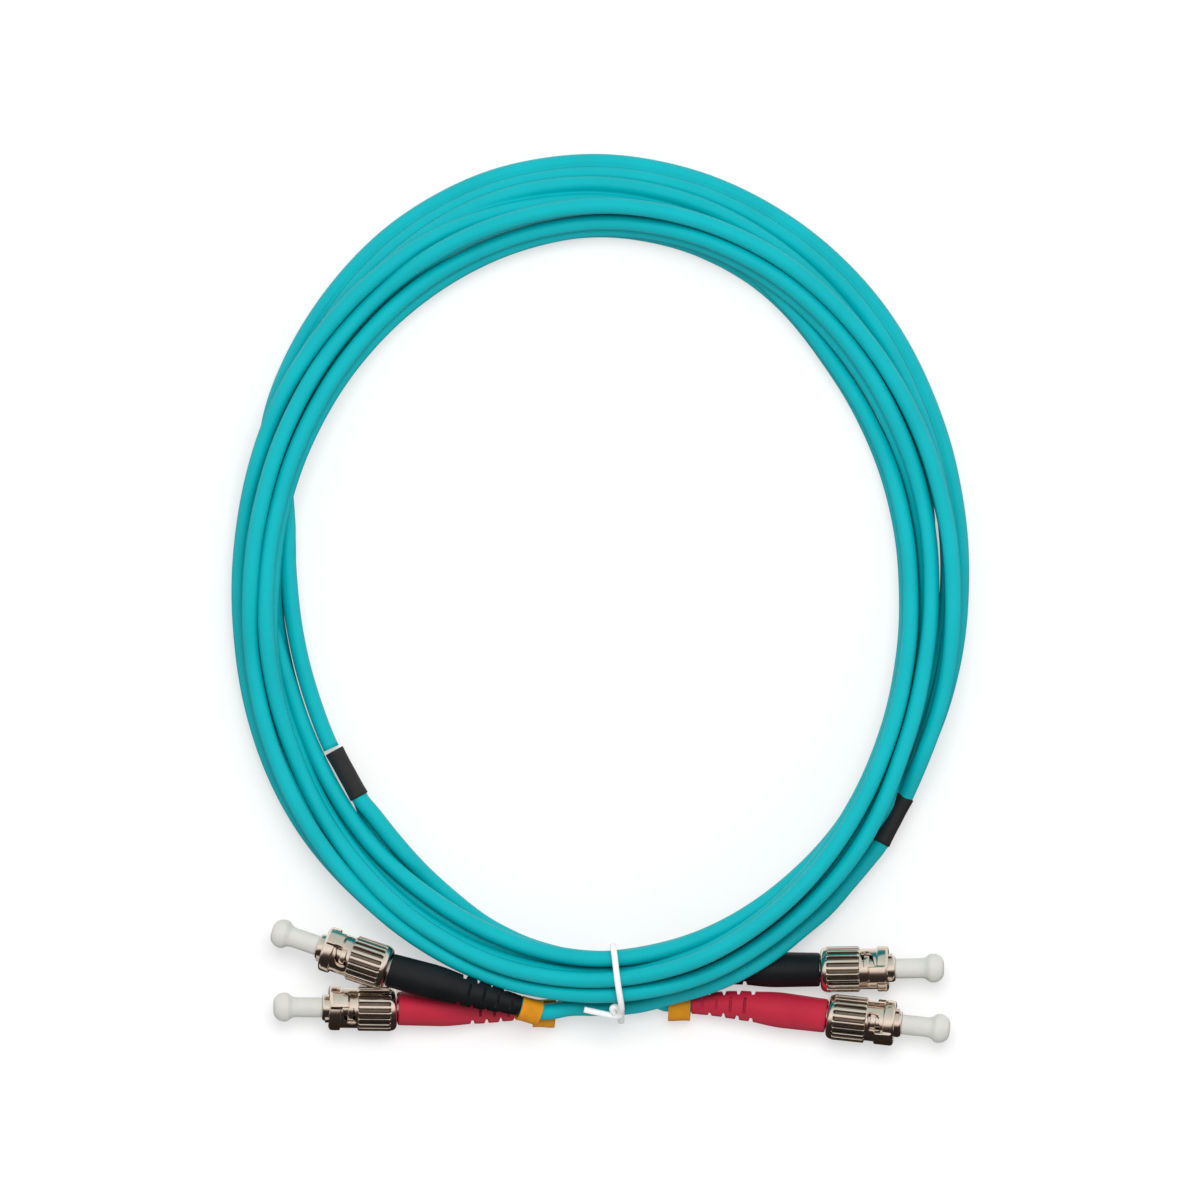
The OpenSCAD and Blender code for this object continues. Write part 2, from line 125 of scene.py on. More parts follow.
ROUTES = {
    "left_black": ([(-7, -4.3, 6.2), (-1, -4.3, 5.4), (5, -3.8, 5.8), (11.4, -2.2, 7.0), (17.8, -0.4, 8.0),
                    (23.9, 2.2, 8.4), (29.6, 5.6, 7.7), (34.7, 9.7, 6.0), (39.5, 13.8, 5.1), (43.7, 18.6, 4.9),
                    (47.4, 23.0, 4.9)], "sleeve_right", 4.95),
    "left_red": ([(-5, -1.8, 3.6), (0, -1.2, 5.4), (5.5, -0.6, 6.2), (11.4, 1.0, 7.4), (17.8, 2.8, 7.9),
                  (23.4, 5.4, 6.9), (28.6, 8.9, 4.7), (33, 12.6, 3.1), (37.3, 16.6, 2.0), (41.9, 20.5, 1.8),
                  (46.5, 23.9, 1.8)], "sleeve_right", 1.85),
    "right_black": ([(4, 3.9, 2.9), (-2, 4.0, 2.9), (-13.5, 6.6, 1.6), (-19, 8.9, 1.6), (-24, 11.8, 1.6),
                     (-32.8, 19.1, 2.7), (-37, 23.4, 4.4), (-40.4, 27.4, 4.9), (-43.4, 31.2, 4.95)], "sleeve_left", 4.95),
    "right_red": ([(10.0, -3.4, 3.2), (5.0, -1.4, 2.8), (0, 0.5, 2.8), (-6, 1.8, 2.2), (-14, 3.3, 1.6), (-19.8, 5.8, 1.6),
                   (-25.2, 8.8, 1.6), (-34.6, 16.4, 1.6), (-41.4, 25.9, 1.6), (-44.3, 30.6, 1.7)], "sleeve_left", 1.85),
}


def resample(pts, step, closed=False):
    """A smooth line through the points, at even steps."""
    p = [Vector(q) for q in pts]
    n = len(p)
    out = []
    for i in range(n if closed else n - 1):
        a = p[(i - 1) % n] if closed or i > 0 else p[0] * 2 - p[1]
        b, c = p[i], p[(i + 1) % n]
        d = p[(i + 2) % n] if closed or i < n - 2 else p[-1] * 2 - p[-2]
        t0, t1 = 0.0, (b - a).length ** 0.5
        t2 = t1 + (c - b).length ** 0.5
        t3 = t2 + (d - c).length ** 0.5
        k = max(2, int(math.ceil((c - b).length / step)))
        for j in range(k):
            t = t1 + (t2 - t1) * j / k
            a1 = a * ((t1 - t) / (t1 - t0)) + b * ((t - t0) / (t1 - t0))
            a2 = b * ((t2 - t) / (t2 - t1)) + c * ((t - t1) / (t2 - t1))
            a3 = c * ((t3 - t) / (t3 - t2)) + d * ((t - t2) / (t3 - t2))
            b1 = a1 * ((t2 - t) / (t2 - t0)) + a2 * ((t - t0) / (t2 - t0))
            b2 = a2 * ((t3 - t) / (t3 - t1)) + a3 * ((t - t1) / (t3 - t1))
            out.append(b1 * ((t2 - t) / (t2 - t1)) + b2 * ((t - t1) / (t2 - t1)))
    if not closed:
        out.append(p[-1].copy())
    return out


def leg_path(name):
    pts, sleeve, z = ROUTES[name]
    p = [bell_m(name) @ Vector((x, 0, 0)) for x in (-9.6, -13.5)]
    p += [ring_m(name, i) @ Vector((0, 0, 0)) for i in (2, 3, 4, 5)]
    p += [ring_m(name, 5) @ Vector((-1.8 - TAG_L, 0, 0))]
    p += [Vector(q) for q in pts]
    s = SLEEVES[sleeve]
    p += [Vector(mouth(s, -1.12, z)), Vector(mouth(s, -0.2, z))]
    return resample(p, 1.0)


LEGS = {name: leg_path(name) for name in PLUGS}


def smooth(v, sigma):
    """Gaussian smoothing on a 1 degree grid, with the ends held."""
    k = np.arange(-int(4 * sigma), int(4 * sigma) + 1)
    w = np.exp(-0.5 * (k / sigma) ** 2)
    w /= w.sum()
    n = len(k) // 2
    ext = np.concatenate([2 * v[0] - v[n:0:-1], v, 2 * v[-1] - v[-2:-n - 2:-1]])
    return np.convolve(ext, w, "valid")


def highest(v, n):
    return np.max([np.roll(np.pad(v, n, mode="edge"), k)[n:n + len(v)] for k in range(-n, n + 1)], axis=0)


def wind():
    """Winds the cord: radius and lean come from the table, height from what each stretch lies on."""
    tab = np.array(STRAND, float)
    th = np.arange(tab[0, 0], tab[-1, 0] + 0.01, 1.0)
    rad = smooth(np.interp(th, tab[:, 0], tab[:, 1]), 3.5)
    lean = np.radians(smooth(np.interp(th, tab[:, 0], tab[:, 2]), 4.0))
    a = np.radians(th)
    plan = COIL + rad[:, None] * np.stack([np.cos(a), np.sin(a)], 1)
    tan = np.gradient(plan, axis=0)
    tan /= np.linalg.norm(tan, axis=1)[:, None]
    out = np.stack([tan[:, 1], -tan[:, 0]], 1)
    side = JH * np.sin(lean)[:, None] * out
    up = JH * np.cos(lean)
    tol = 0.90
    rest = []
    for name, path in LEGS.items():
        for p in path[::2]:
            rest.append((p.x, p.y, p.z, JR))
        for i, rr in ((1, 2.8), (2, 2.6), (3, 2.35), (4, 2.1), (5, 1.95)):
            p = ring_m(name, i) @ Vector((-1.2, 0, 0))
            rest.append((p.x, p.y, p.z, rr))
        for x in (-6, -8, -10, -12):
            p = bell_m(name) @ Vector((x, 0, 0))
            rest.append((p.x, p.y, p.z, 3.2))
        p = ring_m(name, 5) @ Vector((-3.2, TAG[name][1], 0))
        for s in (-1, 1):
            for x in (-1.4, 0, 1.4):
                q = ring_m(name, 5) @ Vector((-3.2 + x, TAG[name][1] + s * (TAG[name][0] - 3.9) / 2, 0))
                rest.append((q.x, q.y, q.z, 1.95))
    rest = np.array(rest)
    groups = [(1440, 9999), (785, 905), (1080, 1440), (905, 1080), (720, 785), (-99, 360), (360, 720)]
    z = JR + np.abs(up)
    for turn in range(5):
        need = JR + np.abs(up)
        low_p = [rest[:, :3]]
        low_r = [rest[:, 3]]
        low_t = [np.full(len(rest), -9999.0)]
        for g0, g1 in groups:
            m = np.where((th >= g0) & (th < g1))[0]
            lp, lr, lt = np.concatenate(low_p), np.concatenate(low_r), np.concatenate(low_t)
            req = need[m].copy()
            for s in (1, -1):
                q = plan[m] + s * side[m]
                d2 = ((q[:, None, :] - lp[None, :, :2]) ** 2).sum(2)
                dd = ((JR + lr) * tol) ** 2
                gap = dd[None, :] - d2
                ok = (gap > 0) & (np.abs(th[m][:, None] - lt[None, :]) > 25)
                zz = np.where(ok, lp[None, :, 2] + np.sqrt(np.maximum(gap, 0)), -99).max(1) - s * up[m]
                req = np.maximum(req, zz)
            need[m] = req
            zl = req if turn == 0 else np.maximum(z[m], 0)
            for s in (1, -1):
                low_p.append(np.column_stack([plan[m] + s * side[m], zl + s * up[m]]))
                low_r.append(np.full(len(m), JR))
                low_t.append(th[m])
        z = smooth(highest(need, 5), 4.5)
        e = np.clip((th - th[0] - 2) / 11, 0, 1)
        z = 3.4 + (z - 3.4) * e * e * (3 - 2 * e)
        e = np.clip((th[-1] - th - 2) / 11, 0, 1)
        z = 3.4 + (z - 3.4) * e * e * (3 - 2 * e)
        z = np.maximum(z, JR + np.abs(up))
    return th, plan, z, side, up, out


TH, PLAN, ZC, SIDE, UP, OUT = wind()
# ---------------------------------------------------------------- end of the winding


# ---------------------------------------------------------------- mesh helpers (mm in, metres out)
def add(name, verts, faces, mat, body=None, rep=(), sharp=38, M=None):
    if M is not None:
        verts = [M @ Vector(v) for v in verts]
    me = bpy.data.meshes.new(name)
    me.from_pydata([(v[0] * MM, v[1] * MM, v[2] * MM) for v in verts], [], faces)
    me.validate()
    me.shade_smooth()
    if sharp:
        me.set_sharp_from_angle(angle=math.radians(sharp))
    me.materials.append(mat)
    ob = bpy.data.objects.new(name, me)
    bpy.context.scene.collection.objects.link(ob)
    if body:
        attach(ob, body)
    if rep:
        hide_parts(*rep)
    return ob


def loops(rings, closed=False, caps=True):
    """Quads between rings of the same number of points."""
    n, m = len(rings), len(rings[0])
    verts = [tuple(p) for r in rings for p in r]
    faces = []
    for i in range(n if closed else n - 1):
        a, b = i * m, ((i + 1) % n) * m
        for k in range(m):
            k2 = (k + 1) % m
            faces.append((a + k, a + k2, b + k2, b + k))
    if caps and not closed:
        faces.append(tuple(range(m - 1, -1, -1)))
        faces.append(tuple((n - 1) * m + k for k in range(m)))
    return verts, faces


def lathe(profile, seg=96, closed=False):
    """Turned about x. The profile runs toward +x outside; closed joins its ends through the bore."""
    rings = [[(x, max(r, 1e-4) * math.cos(2 * math.pi * k / seg), max(r, 1e-4) * math.sin(2 * math.pi * k / seg))
              for k in range(seg)] for x, r in profile]
    v, f = loops(rings, closed, caps=not closed)
    return v, f


def flip(faces):
    return [tuple(reversed(f)) for f in faces]


def fair(pts, step=0.25):
    """A rounded 2D profile through the points."""
    return [(p.x, p.y) for p in resample([(x, y, 0) for x, y in pts], step)]


def tube(path, r, seg=20, closed=False, up=(0, 0, 1)):
    """A round tube along a line, r a number or one per point."""
    n = len(path)
    p = [Vector(q) for q in path]
    t0 = (p[1] - p[-1 if closed else 0]).normalized()
    u = Vector(up).cross(t0)
    if u.length < 0.1:
        u = Vector((1, 0, 0)).cross(t0)
    u.normalize()
    rings = []
    frames = []
    for i in range(n):
        a = p[(i - 1) % n] if closed or i > 0 else p[0]
        b = p[(i + 1) % n] if closed or i < n - 1 else p[-1]
        t = (b - a).normalized()
        u = (u - t * u.dot(t)).normalized()
        frames.append((t, u.copy()))
    twist = 0.0
    if closed:
        t, u1 = frames[0]
        ue = (u - t * u.dot(t)).normalized()
        twist = math.atan2(ue.cross(u1).dot(t), ue.dot(u1))
    for i in range(n):
        t, u = frames[i]
        v = t.cross(u)
        rr = r[i] if hasattr(r, "__len__") else r
        w = twist * i / n
        rings.append([p[i] + rr * (math.cos(w + 2 * math.pi * k / seg) * u + math.sin(w + 2 * math.pi * k / seg) * v)
                      for k in range(seg)])
    return loops(rings, closed)


def boolean(target, cutters):
    """Cuts the cutters out of the target and keeps the result as a plain mesh."""
    mod = target.modifiers.new("cut", "BOOLEAN")
    mod.operation = "DIFFERENCE"
    mod.solver = "EXACT"
    mod.object = cutters
    dg = bpy.context.evaluated_depsgraph_get()
    me = bpy.data.meshes.new_from_object(target.evaluated_get(dg))
    target.modifiers.remove(mod)
    old = target.data
    target.data = me
    bpy.data.meshes.remove(old)
    bpy.data.objects.remove(cutters, do_unlink=True)


def joined(parts):
    verts, faces = [], []
    for v, f in parts:
        n = len(verts)
        verts += list(v)
        faces += [tuple(i + n for i in q) for q in f]
    return verts, faces


# ---------------------------------------------------------------- materials
def srgb(r, g, b):
    return tuple(((c / 255) / 12.92 if c <= 10 else ((c / 255 + 0.055) / 1.055) ** 2.4) for c in (r, g, b)) + (1.0,)


class Mat:
    """A principled material with a few procedural layers."""

    def __init__(self, name, color, rough=0.5, metal=0.0, spec=0.5, coat=0.0, sheen=0.0, sss=0.0, trans=0.0, ior=1.5):
        self.m = bpy.data.materials.new(name)
        self.m.use_nodes = True
        self.t = self.m.node_tree
        self.b = self.t.nodes["Principled BSDF"]
        self.color = color
        s = self.b.inputs
        s["Base Color"].default_value = color
        s["Roughness"].default_value = rough
        s["Metallic"].default_value = metal
        s["Specular IOR Level"].default_value = spec
        s["Coat Weight"].default_value = coat
        s["Sheen Weight"].default_value = sheen
        s["IOR"].default_value = ior
        if sss:
            s["Subsurface Weight"].default_value = sss
            s["Subsurface Radius"].default_value = (1.0, 1.0, 1.0)
            s["Subsurface Scale"].default_value = 0.0012
        if trans:
            s["Transmission Weight"].default_value = trans
        self.co = self.t.nodes.new("ShaderNodeTexCoord").outputs["Object"]
        self.height = None

    def node(self, kind, **kw):
        n = self.t.nodes.new(kind)
        for k, v in kw.items():
            setattr(n, k, v)
        return n

    def link(self, a, b):
        self.t.links.new(a, b)

    def noise(self, scale, detail=3.0, rough=0.5, stretch=None):
        n = self.node("ShaderNodeTexNoise")
        n.inputs["Scale"].default_value = scale
        n.inputs["Detail"].default_value = detail
        n.inputs["Roughness"].default_value = rough
        if stretch:
            mp = self.node("ShaderNodeMapping")
            mp.inputs["Scale"].default_value = stretch
            self.link(self.co, mp.inputs["Vector"])
            self.link(mp.outputs[0], n.inputs["Vector"])
        else:
            self.link(self.co, n.inputs["Vector"])
        return n.outputs["Fac"]

    def ramp(self, fac, stops):
        n = self.node("ShaderNodeValToRGB")
        el = n.color_ramp.elements
        while len(el) < len(stops):
            el.new(0.5)
        for e, (p, c) in zip(el, stops):
            e.position = p
            e.color = c
        self.link(fac, n.inputs["Fac"])
        return n.outputs["Color"]

    def tint(self, fac, amount):
        """Base colour moves between a darker and a lighter shade with fac."""
        c = self.color
        lo = tuple(max(0, v * (1 - amount)) for v in c[:3]) + (1,)
        hi = tuple(min(1, v * (1 + amount)) for v in c[:3]) + (1,)
        self.link(self.ramp(fac, [(0.3, lo), (0.7, hi)]), self.b.inputs["Base Color"])

    def rough(self, fac, lo, hi):
        n = self.node("ShaderNodeMapRange")
        n.inputs["To Min"].default_value = lo
        n.inputs["To Max"].default_value = hi
        self.link(fac, n.inputs["Value"])
        self.link(n.outputs[0], self.b.inputs["Roughness"])

    def bump(self, fac, dist, strength=1.0):
        n = self.node("ShaderNodeBump")
        n.inputs["Distance"].default_value = dist
        n.inputs["Strength"].default_value = strength
        self.link(fac, n.inputs["Height"])
        if self.height is not None:
            self.link(self.height, n.inputs["Normal"])
        self.height = n.outputs[0]
        self.link(self.height, self.b.inputs["Normal"])


def make_materials():
    m = {}
    a = Mat("jacket_aqua", srgb(0, 164, 172), rough=0.45, spec=0.25)
    a.tint(a.noise(90, 4), 0.05)
    a.rough(a.noise(400, 3), 0.36, 0.5)
    a.bump(a.noise(1500, 2), 0.00004, 0.35)
    a.bump(a.noise(120, 2), 0.0002, 0.25)
    m["jacket"] = a.m
    a = Mat("boot_black", srgb(18, 20, 23), rough=0.5, spec=0.3)
    a.tint(a.noise(160, 4), 0.25)
    a.rough(a.noise(500, 3), 0.42, 0.6)
    a.bump(a.noise(2200, 3), 0.00004, 0.5)
    m["boot_black"] = a.m
    a = Mat("boot_red", srgb(176, 34, 56), rough=0.5, spec=0.3)
    a.tint(a.noise(160, 4), 0.08)
    a.rough(a.noise(500, 3), 0.42, 0.58)
    a.bump(a.noise(2200, 3), 0.00004, 0.5)
    m["boot_red"] = a.m
    a = Mat("cap_plastic", srgb(200, 200, 194), rough=0.38, spec=0.35, sss=0.35)
    a.tint(a.noise(260, 3), 0.03)
    a.rough(a.noise(300, 3), 0.3, 0.42)
    a.bump(a.noise(600, 2), 0.00006, 0.3)
    m["cap"] = a.m
    a = Mat("nickel", srgb(236, 222, 210), rough=0.2, metal=1.0)
    a.tint(a.noise(220, 5), 0.07)
    a.rough(a.noise(900, 4, stretch=(0.25, 1, 1)), 0.12, 0.24)
    a.bump(a.noise(2600, 2), 0.00002, 0.3)
    m["nickel"] = a.m
    # painted shade: a darker nickel for the floors of the knurl grooves, standing in for the shade that falls in the
    # grooves
    a = Mat("nickel_groove_painted_shade", srgb(140, 126, 114), rough=0.45, metal=1.0)
    a.tint(a.noise(400, 3), 0.15)
    a.bump(a.noise(1800, 2), 0.00003, 0.4)
    m["nickel_groove_painted_shade"] = a.m
    a = Mat("steel", srgb(178, 178, 180), rough=0.3, metal=1.0)
    a.tint(a.noise(300, 3), 0.06)
    a.rough(a.noise(900, 3), 0.22, 0.4)
    m["steel"] = a.m
    a = Mat("ceramic", srgb(238, 237, 230), rough=0.12, spec=0.6)
    a.tint(a.noise(300, 2), 0.02)
    a.bump(a.noise(2000, 2), 0.00001, 0.2)
    m["ceramic"] = a.m
    a = Mat("fibre", srgb(226, 214, 150), rough=0.35, spec=0.5)
    a.tint(a.noise(400, 2), 0.06)
    a.bump(a.noise(1800, 2), 0.00002, 0.3)
    m["fibre"] = a.m
    a = Mat("tag_orange", srgb(206, 132, 12), rough=0.42, spec=0.35, sss=0.15)
    a.tint(a.noise(380, 4), 0.12)
    a.rough(a.noise(300, 3), 0.34, 0.55)
    a.bump(a.noise(420, 3), 0.00025, 0.5)
    m["tag"] = a.m
    a = Mat("heatshrink", srgb(34, 34, 36), rough=0.55, spec=0.35)
    a.tint(a.noise(200, 4), 0.2)
    a.rough(a.noise(500, 3), 0.45, 0.65)
    a.bump(a.noise(900, 4), 0.00012, 0.5)
    m["heatshrink"] = a.m
    a = Mat("tie_white", srgb(238, 238, 238), rough=0.4, spec=0.4, sss=0.2)
    a.tint(a.noise(300, 3), 0.02)
    a.rough(a.noise(400, 3), 0.32, 0.5)
    a.bump(a.noise(900, 2), 0.00008, 0.4)
    m["tie"] = a.m
    return m


MATS = make_materials()


# ---------------------------------------------------------------- the cord
def pair_section(n=17):
    """Outline of the two joined jackets, across the cord: (along the pair, across it)."""
    pts = []
    for k in range(n):
        a = math.radians(-160 + 320 * k / (n - 1))
        pts.append((JH + JR * math.cos(a), JR * math.sin(a)))
    for k in range(n):
        a = math.radians(20 + 320 * k / (n - 1))
        pts.append((-JH + JR * math.cos(a), JR * math.sin(a)))
    return pts


def wound_cord():
    sec = pair_section()
    c = np.column_stack([PLAN, ZC])
    t = np.gradient(c, axis=0)
    t /= np.linalg.norm(t, axis=1)[:, None]
    long_axis = np.column_stack([SIDE, UP]) / JH
    long_axis -= (long_axis * t).sum(1)[:, None] * t
    long_axis /= np.linalg.norm(long_axis, axis=1)[:, None]
    cross = np.cross(t, long_axis)
    rings = []
    for i in range(len(c)):
        rings.append([c[i] + u * long_axis[i] + v * cross[i] for u, v in sec])
    v, f = loops(rings)
    ob = add("zip_cord", v, f, MATS["jacket"], "lead", ("cord_coil",), sharp=0)
    return ob


CORD = wound_cord()
for plug in PLUGS:
    path = LEGS[plug]
    v, f = tube(path, JR, 24)
    ob = add("leg_" + plug + "_jacket", v, f, MATS["jacket"], "lead", ("leg_" + plug,), sharp=60)
    p = [[q * MM for q in w] for w in path]


# ---------------------------------------------------------------- breakout sleeves
def sleeve_section(grow, waist, n=14):
    """Two lobes drawn in a little between them."""
    pts = []
    for k in range(n + 1):
        a = math.radians(-78 + 156 * k / n)
        pts.append((JH + (JR + grow) * math.cos(a), (JR + grow) * math.sin(a)))
    for u in (0.62, 0.3, 0, -0.3, -0.62):
        w = waist + (JR + grow - waist) * min(1, (abs(u) / 1.1)) ** 2
        pts.append((u * JH, w * 0.995))
    for k in range(n + 1):
        a = math.radians(102 + 156 * k / n)
        pts.append((-JH + (JR + grow) * math.cos(a), (JR + grow) * math.sin(a)))
    for u in (-0.62, -0.3, 0, 0.3, 0.62):
        w = waist + (JR + grow - waist) * min(1, (abs(u) / 1.1)) ** 2
        pts.append((u * JH, -w * 0.995))
    return pts


def heat_sleeve(name):
    x, y, turn = SLEEVES[name]
    M = Matrix.Translation((x, y, 3.4)) @ R("Z", turn)
    h = SLEEVE_L / 2
    rows = [(-h + 0.1, 0.03, 1.2), (-h, 0.12, 1.38), (-h - 0.02, 0.25, 1.5), (-h + 0.1, 0.33, 1.58),
            (-h + 0.5, 0.32, 1.5), (-h + 1.4, 0.27, 1.38), (-1.5, 0.25, 1.33), (0, 0.27, 1.36), (1.8, 0.24, 1.32),
            (h - 1.3, 0.28, 1.38), (h - 0.5, 0.32, 1.5), (h - 0.1, 0.33, 1.58), (h + 0.02, 0.25, 1.5),
            (h, 0.12, 1.38), (h - 0.1, 0.03, 1.2)]
    rings = [[(px, v, u) for u, v in sleeve_section(g, w)] for px, g, w in rows]
    v, f = loops(rings)
    return add(name + "_tube", v, flip(f), MATS["heatshrink"], "lead", (name,), sharp=50, M=M)


for name in SLEEVES:
    heat_sleeve(name)


# ---------------------------------------------------------------- plugs
KNURL = 20
NUT_R = 4.2


def smooth01(t):
    t = max(0.0, min(1.0, t))
    return t * t * (3 - 2 * t)


def nut_skin():
    """Outside radius of the coupling nut, row by row, and its bore. Returns rings of 320 points."""
    seg = KNURL * 16
    rows = [(0.0, 2.95), (0.03, 3.2), (0.12, 3.5), (0.3, 3.78), (0.55, 3.96), (0.85, 4.07), (1.05, 4.12)]
    rows += [(x, None) for x in (1.15, 1.25, 1.35, 1.5, 1.65, 1.8, 2.1, 3.2, 4.6, 6.0, 6.5, 6.8, 6.95, 7.05, 7.13, 7.2)]
    rows += [(7.22, 3.74), (7.3, 3.7), (7.9, 3.7), (8.5, 3.7), (8.75, 3.7), (8.85, 3.7), (8.95, 3.7), (9.1, 3.7), (9.3, 3.7),
             (9.7, 3.7), (10.1, 3.7), (10.3, 3.7), (10.36, 3.72), (10.42, 3.9), (10.46, 4.04), (10.54, 4.12), (10.7, 4.15),
             (11.3, 4.16), (11.7, 4.16), (11.9, 4.15), (12.1, 4.12), (12.25, 4.05), (12.36, 3.93), (12.44, 3.78), (12.5, 3.6),
             (12.52, 3.35), (12.48, 3.14), (12.38, 3.05)]
    rings = []
    for x, r0 in rows:
        ring = []
        for k in range(seg):
            a = 2 * math.pi * k / seg
            if r0 is None:
                t = (k % 16) / 16
                g = smooth01((0.27 - abs(t - 0.5)) / 0.09)
                depth = 0.62 * smooth01((x - 1.12) / 0.4)
                top = NUT_R + 0.0 - 0.06 * (1 - smooth01((x - 1.05) / 0.3)) - 0.3 * smooth01((x - 6.85) / 0.38) ** 2
                crown = 0.05 * (abs(((k + 8) % 16) / 16 - 0.5) / 0.25) ** 2 if g < 1 else 0
                r = top - crown * (1 - g) - depth * g
                r = max(r, 3.52)
            else:
                r = r0
                if 8.7 < x < 12.4:
                    s = min(abs(((math.degrees(a) - c + 180) % 360) - 180) for c in (90, 270))
                    w = smooth01((24.5 - s) / 6.5)
                    e = smooth01((x - 8.72) / 0.42) * smooth01((12.32 - x) / 0.5)
                    r = max(r, r0 + (4.47 - r0) * w * e)
            ring.append((x, r * math.cos(a), r * math.sin(a)))
        rings.append(ring)
    for x, r in ((12.0, 3.05), (9.0, 3.05), (4.0, 3.05), (1.25, 3.05), (1.2, 3.0), (1.2, 2.34), (0.6, 2.34), (0.05, 2.34),
                 (0.0, 2.4), (0.0, 2.7)):
        rings.append([(x, r * math.cos(2 * math.pi * k / seg), r * math.sin(2 * math.pi * k / seg)) for k in range(seg)])
    return rings


def slot_cutter(side):
    """The ramp slot: starts under the hump, runs round the nut and ends in a round hole."""
    rings = []
    n = 26
    for k in range(n + 1):
        ang = -(20 + 56 * k / n)
        xm = 9.05 - 0.75 * (k / n)
        w = 1.08
        arc = (n - k) / n * 56 * math.pi / 180 * 3.6
        if arc < 1.15:
            w = math.sqrt(max(1.15 ** 2 - (1.15 - arc) ** 2, 0.02))
        a = math.radians(90 + side + ang)
        ring = []
        for dx, r in ((-w, 2.5), (w, 2.5), (w, 5.2), (-w, 5.2)):
            ring.append((xm + dx, r * math.cos(a), r * math.sin(a)))
        rings.append(ring)
    return loops(rings)


def entry_cutter(side):
    rings = []
    for k in range(9):
        a = math.radians(90 + side - 21 + 39 * k / 8)
        rings.append([(x, r * math.cos(a), r * math.sin(a)) for x, r in ((7.97, 2.6), (10.1, 2.6), (10.1, 3.92), (7.97, 3.5))])
    return loops(rings)


def mouth_cutter(side):
    rings = []
    for k in range(9):
        a = math.radians(90 + side - 18 + 36 * k / 8)
        rings.append([(x, r * math.cos(a), r * math.sin(a)) for x, r in ((9.6, 2.6), (13.2, 2.6), (13.2, 3.88), (9.6, 3.88))])
    return loops(rings)


def outward(ob):
    """Makes the face normals of a closed mesh point out."""
    import bmesh
    bm = bmesh.new()
    bm.from_mesh(ob.data)
    bmesh.ops.recalc_face_normals(bm, faces=bm.faces)
    bm.to_mesh(ob.data)
    bm.free()


def nut(name):
    v, f = loops(nut_skin(), closed=True)
    ob = add(name + "_coupling", v, f, MATS["nickel"], sharp=0)
    outward(ob)
    cv, cf = joined([slot_cutter(0), slot_cutter(180)])
    cut = add(name + "_cut", cv, cf, MATS["nickel"], sharp=0)
    outward(cut)
    boolean(ob, cut)
    cv, cf = joined([mouth_cutter(0), mouth_cutter(180)])
    cut = add(name + "_cut", cv, cf, MATS["nickel"], sharp=0)
    outward(cut)
    boolean(ob, cut)
    me = ob.data
    # painted shade: faces on the knurl groove floors (x 1.3 to 7.15, radius 3.4 to 3.86) take the darker nickel, which
    # paints the shade in the grooves
    me.materials.append(MATS["nickel_groove_painted_shade"])
    for q in me.polygons:
        c = q.center / MM
        if 1.3 < c.x < 7.15 and 3.4 < math.hypot(c.y, c.z) < 3.86:
            q.material_index = 1
    me.transform(Matrix.Scale(MM, 4) @ plug_m(name) @ R("X", NUT_TURN[name]) @ Matrix.Scale(1 / MM, 4))
    me.shade_smooth()
    me.set_sharp_from_angle(angle=math.radians(36))
    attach(ob, name + "_nut")
    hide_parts(name + "_nut")
    return ob


CAP_OUT = fair([(13.75, 1.83), (15.0, 1.83), (17.0, 1.83), (18.6, 1.84), (19.2, 1.98), (19.7, 2.32), (20.1, 2.58),
                (20.6, 2.66), (21.2, 2.58), (21.8, 2.3), (22.3, 1.85), (22.55, 1.3), (22.62, 0.6), (22.62, 0.01)], 0.22)


def cap(name):
    prof = [(13.75, 1.3), (13.72, 1.5), (13.74, 1.72)] + CAP_OUT[1:]
    inner = [(20.15, 0.01), (20.15, 1.2), (20.0, 1.29), (16.0, 1.29), (13.9, 1.29)]
    v, f = lathe(prof + inner, 72, closed=True)
    ob = add(name + "_dust_cap", v, f, MATS["cap"], name + "_cap", (name + "_cap",), sharp=55, M=plug_m(name))
    outward(ob)
    return ob


BARREL = [(-6.2, 0.5), (-6.2, 1.3), (-6.15, 1.35), (-1.8, 1.35), (-1.8, 2.23), (-1.74, 2.28), (-0.66, 2.28), (-0.62, 2.24),
          (-0.62, 1.95), (-0.14, 1.95), (-0.14, 2.24), (-0.1, 2.28), (7.95, 2.28), (8.0, 2.33), (8.0, 2.85), (8.06, 2.9),
          (8.94, 2.9), (9.0, 2.86), (9.0, 2.5), (9.05, 2.45), (13.15, 2.45), (13.3, 2.42), (13.5, 2.33), (13.66, 2.2),
          (13.7, 2.1), (13.7, 1.32), (13.65, 1.27), (6.0, 1.27), (6.0, 0.5)]


def barrel(name):
    v, f = lathe(BARREL, 80, closed=True)
    key = []
    for x, w in ((11.2, 0.44), (11.26, 0.5), (13.14, 0.5), (13.2, 0.44)):
        key.append([(x, -w, 2.2), (x, w, 2.2), (x, w, 2.88), (x, w - 0.07, 2.95), (x, -w + 0.07, 2.95), (x, -w, 2.88)])
    kv, kf = loops(key)
    K = R("X", -60)
    kv = [K @ Vector(q) for q in kv]
    v2, f2 = joined([(v, f), (kv, kf)])
    ob = add(name + "_body", v2, f2, MATS["nickel"], "lead", (name + "_barrel",), sharp=34, M=plug_m(name))
    outward(ob)
    return ob


BOOT = [(-0.14, 2.4), (-0.12, 2.75), (-0.2, 2.98), (-0.38, 3.08), (-0.9, 3.11), (-3.5, 3.16), (-6, 3.21), (-8, 3.25), (-9.2, 3.22),
        (-10.5, 3.13), (-11.8, 3.0), (-13.0, 2.86), (-13.5, 2.82)]
RINGS = [(2.8, 2.72), (2.66, 2.48), (2.4, 2.2), (2.12, 1.98)]


